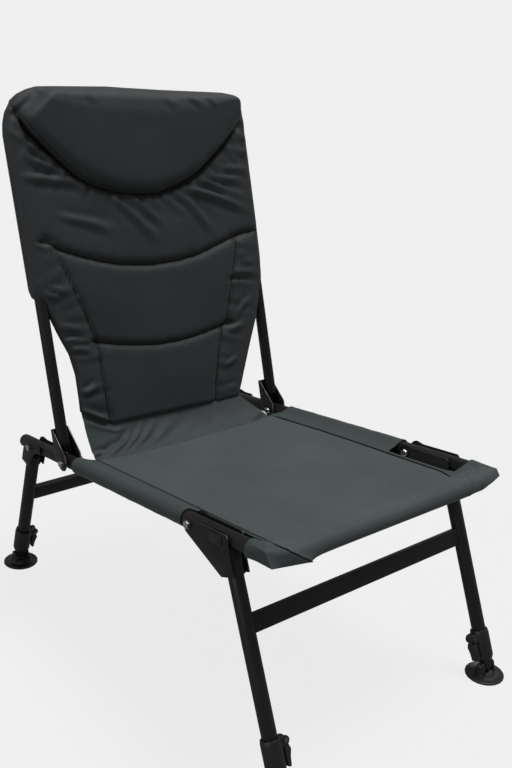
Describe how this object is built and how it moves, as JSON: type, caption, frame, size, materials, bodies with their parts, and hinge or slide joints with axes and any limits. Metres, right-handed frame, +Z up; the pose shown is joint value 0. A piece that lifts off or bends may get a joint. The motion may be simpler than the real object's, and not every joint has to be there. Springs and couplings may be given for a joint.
{
  "type": "carp fishing chair",
  "caption": "Low folding chair: bent-tube seat frame under a cloth seat, padded recliner back, two folding leg frames with cam-clamped telescopic legs and swivelling mud feet.",
  "frame": {"origin": "on the floor, midway between the four feet", "axes": "+Z up, the chair faces -Y, +X is the sitter's left"},
  "size_m": [0.57, 0.895, 0.9649],
  "materials": {
    "coated_tube": "satin powder coat",
    "zinc_hardware": "bright zinc plate",
    "black_plastic": "fine moulded texture",
    "seat_cloth": "woven, dark slate grey",
    "back_cloth": "woven, near-black charcoal, padded"
  },
  "bodies": {
    "seat": {"seat_frame": "coated_tube", "rail_cap_left": "black_plastic", "rail_cap_right": "black_plastic", "seat_cover": "seat_cloth", "joining_cloth": "seat_cloth", "front_hinge_bolt_left": "zinc_hardware", "front_hinge_bolt_right": "zinc_hardware", "front_hinge_nut_left": "zinc_hardware", "front_hinge_nut_right": "zinc_hardware", "rear_hinge_bolt_left": "zinc_hardware", "rear_hinge_bolt_right": "zinc_hardware", "rear_hinge_nut_left": "zinc_hardware", "rear_hinge_nut_right": "zinc_hardware", "back_hinge_bolt_left": "zinc_hardware", "back_hinge_bolt_right": "zinc_hardware", "back_hinge_nut_left": "zinc_hardware", "back_hinge_nut_right": "zinc_hardware"},
    "backrest": {"back_frame": "coated_tube", "back_bracket_left": "coated_tube", "back_bracket_right": "coated_tube", "back_pad": "back_cloth"},
    "front_legs": {"front_bracket_left": "coated_tube", "front_bracket_right": "coated_tube", "front_leg_left": "coated_tube", "front_leg_right": "coated_tube", "front_cross_bar": "coated_tube", "clamp_collar_front_left": "black_plastic", "clamp_collar_front_right": "black_plastic", "lever_pin_front_left": "zinc_hardware", "lever_pin_front_right": "zinc_hardware"},
    "rear_legs": {"rear_bracket_left": "coated_tube", "rear_bracket_right": "coated_tube", "rear_leg_left": "coated_tube", "rear_leg_right": "coated_tube", "rear_cross_bar": "coated_tube", "clamp_collar_rear_left": "black_plastic", "clamp_collar_rear_right": "black_plastic", "lever_pin_rear_left": "zinc_hardware", "lever_pin_rear_right": "zinc_hardware"},
    "lock_left": {"lock_button_left": "black_plastic"},
    "lock_right": {"lock_button_right": "black_plastic"},
    "inner_leg_front_left": {"inner_leg_front_left": "coated_tube", "ankle_pin_front_left": "zinc_hardware"},
    "foot_front_left": {"mud_foot_front_left": "black_plastic"},
    "lever_front_left": {"cam_lever_front_left": "black_plastic"},
    "inner_leg_front_right": {"inner_leg_front_right": "coated_tube", "ankle_pin_front_right": "zinc_hardware"},
    "foot_front_right": {"mud_foot_front_right": "black_plastic"},
    "lever_front_right": {"cam_lever_front_right": "black_plastic"},
    "inner_leg_rear_left": {"inner_leg_rear_left": "coated_tube", "ankle_pin_rear_left": "zinc_hardware"},
    "foot_rear_left": {"mud_foot_rear_left": "black_plastic"},
    "lever_rear_left": {"cam_lever_rear_left": "black_plastic"},
    "inner_leg_rear_right": {"inner_leg_rear_right": "coated_tube", "ankle_pin_rear_right": "zinc_hardware"},
    "foot_rear_right": {"mud_foot_rear_right": "black_plastic"},
    "lever_rear_right": {"cam_lever_rear_right": "black_plastic"}
  },
  "joints": [
    {"name": "backrest_fold", "type": "hinge", "parent": "seat", "child": "backrest", "pos_m": [0, 0.1976, 0.31456], "axis": [1, 0, 0], "range_deg": [0, 60], "deforming": ["joining_cloth"]},
    {"name": "front_legs_fold", "type": "hinge", "parent": "seat", "child": "front_legs", "pos_m": [0, -0.18664, 0.36065], "axis": [1, 0, 0], "range_deg": [0, 50]},
    {"name": "rear_legs_fold", "type": "hinge", "parent": "seat", "child": "rear_legs", "pos_m": [0, 0.32866, 0.29884], "axis": [-1, 0, 0], "range_deg": [0, 65]},
    {"name": "lock_press_left", "type": "slide", "parent": "front_legs", "child": "lock_left", "axis": [-1, 0, 0], "range_m": [0, 0.003], "stiffness_N_per_m": 800, "springref_m": -0.002},
    {"name": "lock_press_right", "type": "slide", "parent": "front_legs", "child": "lock_right", "axis": [1, 0, 0], "range_m": [0, 0.003], "stiffness_N_per_m": 800, "springref_m": -0.002},
    {"name": "leg_slide_front_left", "type": "slide", "parent": "front_legs", "child": "inner_leg_front_left", "axis": [0, -0.39, -0.9208], "range_m": [0, 0.1]},
    {"name": "foot_swivel_front_left", "type": "hinge", "parent": "inner_leg_front_left", "child": "foot_front_left", "pos_m": [0.25, -0.4125, 0.022], "axis": [1, 0, 0], "range_deg": [-20, 20]},
    {"name": "lever_open_front_left", "type": "hinge", "parent": "front_legs", "child": "lever_front_left", "pos_m": [0.227, -0.39105, 0.07265], "axis": [0, 0.9208, -0.39], "range_deg": [0, 100]},
    {"name": "leg_slide_front_right", "type": "slide", "parent": "front_legs", "child": "inner_leg_front_right", "axis": [0, -0.39, -0.9208], "range_m": [0, 0.1]},
    {"name": "foot_swivel_front_right", "type": "hinge", "parent": "inner_leg_front_right", "child": "foot_front_right", "pos_m": [-0.25, -0.4125, 0.022], "axis": [1, 0, 0], "range_deg": [-20, 20]},
    {"name": "lever_open_front_right", "type": "hinge", "parent": "front_legs", "child": "lever_front_right", "pos_m": [-0.227, -0.39105, 0.07265], "axis": [0, -0.9208, 0.39], "range_deg": [0, 100]},
    {"name": "leg_slide_rear_left", "type": "slide", "parent": "rear_legs", "child": "inner_leg_rear_left", "axis": [0, 0.269, -0.9631], "range_m": [0, 0.1]},
    {"name": "foot_swivel_rear_left", "type": "hinge", "parent": "inner_leg_rear_left", "child": "foot_rear_left", "pos_m": [0.25, 0.4125, 0.022], "axis": [1, 0, 0], "range_deg": [-20, 20]},
    {"name": "lever_open_rear_left", "type": "hinge", "parent": "rear_legs", "child": "lever_rear_left", "pos_m": [0.227, 0.39771, 0.07497], "axis": [0, 0.9631, 0.269], "range_deg": [0, 100]},
    {"name": "leg_slide_rear_right", "type": "slide", "parent": "rear_legs", "child": "inner_leg_rear_right", "axis": [0, 0.269, -0.9631], "range_m": [0, 0.1]},
    {"name": "foot_swivel_rear_right", "type": "hinge", "parent": "inner_leg_rear_right", "child": "foot_rear_right", "pos_m": [-0.25, 0.4125, 0.022], "axis": [1, 0, 0], "range_deg": [-20, 20]},
    {"name": "lever_open_rear_right", "type": "hinge", "parent": "rear_legs", "child": "lever_rear_right", "pos_m": [-0.227, 0.39771, 0.07497], "axis": [0, -0.9631, -0.269], "range_deg": [0, 100]}
  ]
}
